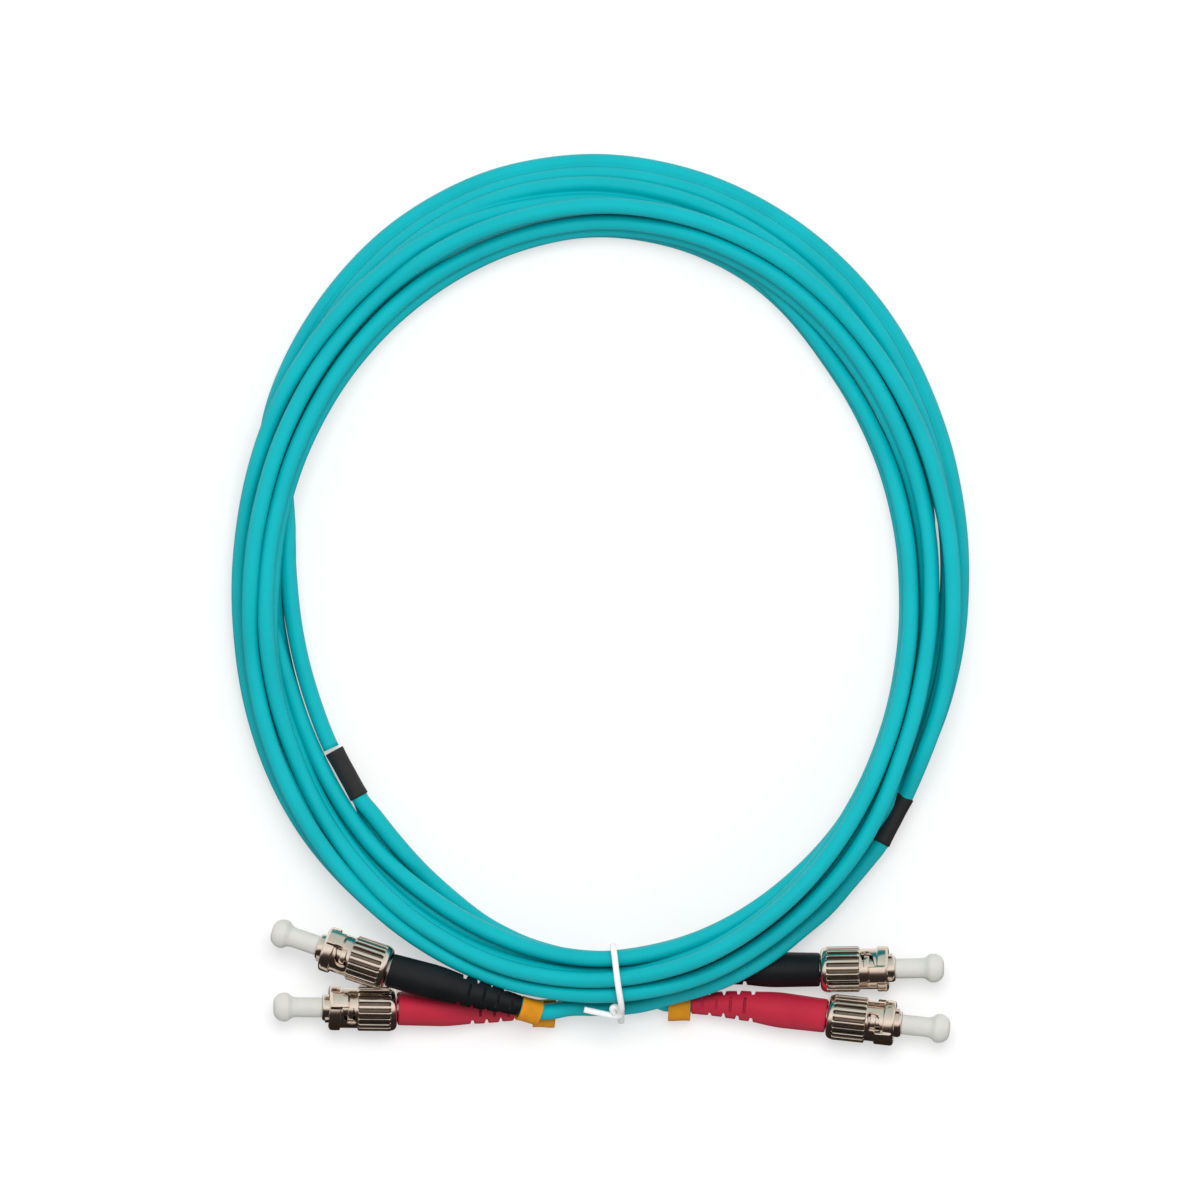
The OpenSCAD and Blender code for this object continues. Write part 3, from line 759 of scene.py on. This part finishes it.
def boot(name):
    seg = 64
    stations = []
    B = bell_m(name)
    for x, r in BOOT:
        stations.append((B, x, r))
    for i in (1, 2, 3, 4):
        ra, rb = RINGS[i - 1]
        M = ring_m(name, i)
        for t in (0.12, 0.3, 0.5, 0.7, 0.88):
            stations.append((M, -2.6 * t, ra + (rb - ra) * t))
    M = ring_m(name, 5)
    stations += [(M, 0.0, 1.94), (M, -0.5, 1.9), (M, -0.9, 1.87), (M, -1.05, 1.8), (M, -1.1, 1.7)]
    rings = [[M @ Vector((x, r * math.cos(2 * math.pi * k / seg), r * math.sin(2 * math.pi * k / seg)))
              for k in range(seg)] for M, x, r in stations]
    v, f = loops(rings)
    black = name.endswith("black")
    mat = MATS["boot_black" if black else "boot_red"]
    ob = add(name + "_strain_boot", v, f, mat, sharp=0)
    outward(ob)
    parts = []
    for i in (1, 2, 3, 4):
        M = ring_m(name, i)
        rr = RINGS[i - 1][0]
        for s in (1, -1):
            # side notch, wide outside and narrow inside
            ring = []
            for z in (-1.75, 1.75):
                ring.append([M @ Vector((-0.38 + u, s * w, z)) for u, w in
                             ((-0.16, 1.66), (0.16, 1.66), (0.55, rr + 0.5), (-0.55, rr + 0.5))])
            parts.append(loops(ring))
            # slot above and below
            ring = []
            for y in (-1.45, 1.45):
                ring.append([M @ Vector((-1.67 + u, y, s * w)) for u, w in
                             ((-0.22, 1.66), (0.22, 1.66), (0.3, rr + 0.5), (-0.3, rr + 0.5))])
            parts.append(loops(ring))
    cv, cf = joined(parts)
    cut = add(name + "_cut", cv, cf, mat, sharp=0)
    outward(cut)
    boolean(ob, cut)
    ob.data.shade_smooth()
    ob.data.set_sharp_from_angle(angle=math.radians(35))
    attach(ob, "lead")
    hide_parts(name + "_boot")
    return ob


def tag(name):
    w, off = TAG[name]
    M = ring_m(name, 5)
    n = 12

    def section(ro, grow, skew):
        pts = []
        for s, a0 in ((1, -90), (-1, 90)):
            for k in range(n + 1):
                a = math.radians(a0 + 180 * k / n)
                y = s * (w - 3.9) / 2 * (1 + grow) + ro * math.cos(a)
                z = ro * math.sin(a)
                pts.append((y + off, z * (1 - 0.05 * grow) + skew * y))
        return pts
    rows = [(-1.28, 1.72), (-1.22, 1.78), (-1.2, 1.86), (-1.24, 1.93), (-1.4, 1.95), (-2.2, 1.93), (-3.2, 1.94), (-4.2, 1.93),
            (-5.0, 1.95), (-5.16, 1.93), (-5.2, 1.86), (-5.18, 1.78), (-5.12, 1.72), (-3.2, 1.71)]
    rings = []
    for x, ro in rows:
        g = 0.10 * math.sin((x + 1.2) * 1.4)
        rings.append([(x + 0.05 * y, y, z) for y, z in section(ro, g, 0.015 * (x + 3.2))])
    v, f = loops(rings, closed=True)
    ob = add(name + "_marker", v, f, MATS["tag"], "lead", (name + "_tag",), sharp=45, M=M)
    outward(ob)
    return ob


for name in PLUGS:
    nut(name)
    cap(name)
    barrel(name)
    boot(name)
    tag(name)

# pieces of the frame that stay, with finished materials
KEEP = {"ferrule": "ceramic", "spring": "steel", "washer": "steel", "ring": "steel", "crimp": "nickel", "fibre": "fibre"}
for name in PLUGS:
    for piece, slot in KEEP.items():
        ob = NODES[name + "_" + piece]
        ob.data.materials.clear()
        ob.data.materials.append(MATS[slot])

# ---------------------------------------------------------------- twist tie
TIE_LOOP = [(0.6, 6.9, 10), (0.6, 6.8, 14.6), (0.8, 5.6, 15.8), (1.1, 3.2, 16.1), (1.4, 0.6, 16.2), (1.8, -2.0, 15.2),
            (2.1, -4.0, 13.2), (2.1, -5.3, 10.0), (2.1, -6.5, 6.4), (2.0, -6.5, 3.2),
            (1.8, -4.6, 0.9), (1.4, 0, 0.65), (1.0, 4, 0.65), (0.7, 6.1, 1.6), (0.6, 6.8, 4)]


def tie():
    parts = [tube(resample(TIE_LOOP, 0.5, closed=True), 0.58, 16, closed=True, up=(1, 0, 0))]
    tails = [
        [(2.0, -4.6, 11.3), (1.9, -5.6, 10.4), (1.2, -5.9, 9.6), (0.3, -5.7, 9.5), (-1.6, -5.3, 9.7), (-3.2, -4.95, 9.8), (-4.7, -4.6, 9.9)],
        [(2.0, -5.9, 8.4), (1.3, -5.9, 8.9), (0.6, -5.0, 10.2), (0.5, -4.3, 10.9), (1.0, -4.0, 11.2), (1.7, -4.6, 10.6), (1.9, -5.4, 9.4)],
    ]
    for t in tails:
        p = resample(t, 0.35)
        parts.append(tube(p, 0.58, 16))
    v, f = joined(parts)
    ob = add("wire_tie", v, f, MATS["tie"], "lead", ("twist_tie",), sharp=50)
    outward(ob)
    return ob


tie()

# ---------------------------------------------------------------- floor and light
floor_m = Mat("floor", (0.42, 0.42, 0.42, 1), rough=0.9, spec=0.1)
floor_m.b.inputs["Emission Color"].default_value = (1, 1, 1, 1)
floor_m.b.inputs["Emission Strength"].default_value = 0.5
floor_m.tint(floor_m.noise(3, 2), 0.003)
bpy.ops.mesh.primitive_plane_add(size=30, location=(0, 0, 0))
floor = bpy.context.object
floor.name = "floor"
floor.data.materials.append(floor_m.m)
floor.visible_glossy = False


def area(name, loc, size, power, aim=(0, 0.07, 0), glossy=False):
    d = bpy.data.lights.new(name, "AREA")
    d.shape = "RECTANGLE"
    d.size, d.size_y = size
    d.energy = power
    o = bpy.data.objects.new(name, d)
    o.location = loc
    o.rotation_euler = (Vector(aim) - Vector(loc)).to_track_quat("-Z", "Y").to_euler()
    bpy.context.scene.collection.objects.link(o)
    o.visible_glossy = glossy
    return o


area("top", (0.05, 0.45, 1.3), (0.9, 0.7), 15)

world = bpy.data.worlds.new("studio")
bpy.context.scene.world = world
world.use_nodes = True
wt = world.node_tree
wt.nodes.clear()
out = wt.nodes.new("ShaderNodeOutputWorld")
geo = wt.nodes.new("ShaderNodeTexCoord")
sep = wt.nodes.new("ShaderNodeSeparateXYZ")
wt.links.new(geo.outputs["Generated"], sep.inputs[0])
# reflections: bright overhead and behind the coil, dark toward the front
mix = wt.nodes.new("ShaderNodeMath")
mix.operation = "MULTIPLY_ADD"
mix.inputs[1].default_value = 0.25
wt.links.new(sep.outputs["Z"], mix.inputs[0])
wt.links.new(sep.outputs["Y"], mix.inputs[2])
ramp = wt.nodes.new("ShaderNodeValToRGB")
el = ramp.color_ramp.elements
el[0].position, el[0].color = 0.0, (0.02, 0.015, 0.012, 1)
el[1].position, el[1].color = 1.0, (0.55, 0.62, 0.58, 1)
for p, c in ((0.34, (0.03, 0.022, 0.018, 1)), (0.43, (0.12, 0.09, 0.075, 1)), (0.5, (0.8, 0.74, 0.69, 1)), (0.64, (1.0, 0.96, 0.92, 1)),
             (0.86, (0.72, 0.74, 0.72, 1))):
    e = el.new(p)
    e.color = c
half = wt.nodes.new("ShaderNodeMath")
half.operation = "MULTIPLY_ADD"
half.inputs[1].default_value = 0.5
half.inputs[2].default_value = 0.5
wt.links.new(mix.outputs[0], half.inputs[0])
wt.links.new(half.outputs[0], ramp.inputs["Fac"])
bg_g = wt.nodes.new("ShaderNodeBackground")
wt.links.new(ramp.outputs["Color"], bg_g.inputs["Color"])
bg_g.inputs["Strength"].default_value = 1.0
bg_d = wt.nodes.new("ShaderNodeBackground")
bg_d.inputs["Color"].default_value = (1, 1, 1, 1)
bg_d.inputs["Strength"].default_value = 0.62
lp = wt.nodes.new("ShaderNodeLightPath")
ms = wt.nodes.new("ShaderNodeMixShader")
wt.links.new(lp.outputs["Is Glossy Ray"], ms.inputs["Fac"])
wt.links.new(bg_d.outputs[0], ms.inputs[1])
wt.links.new(bg_g.outputs[0], ms.inputs[2])
wt.links.new(ms.outputs[0], out.inputs["Surface"])

bpy.context.scene.view_settings.view_transform = "Standard"
bpy.context.scene.view_settings.look = "None"

bpy.context.view_layer.update()
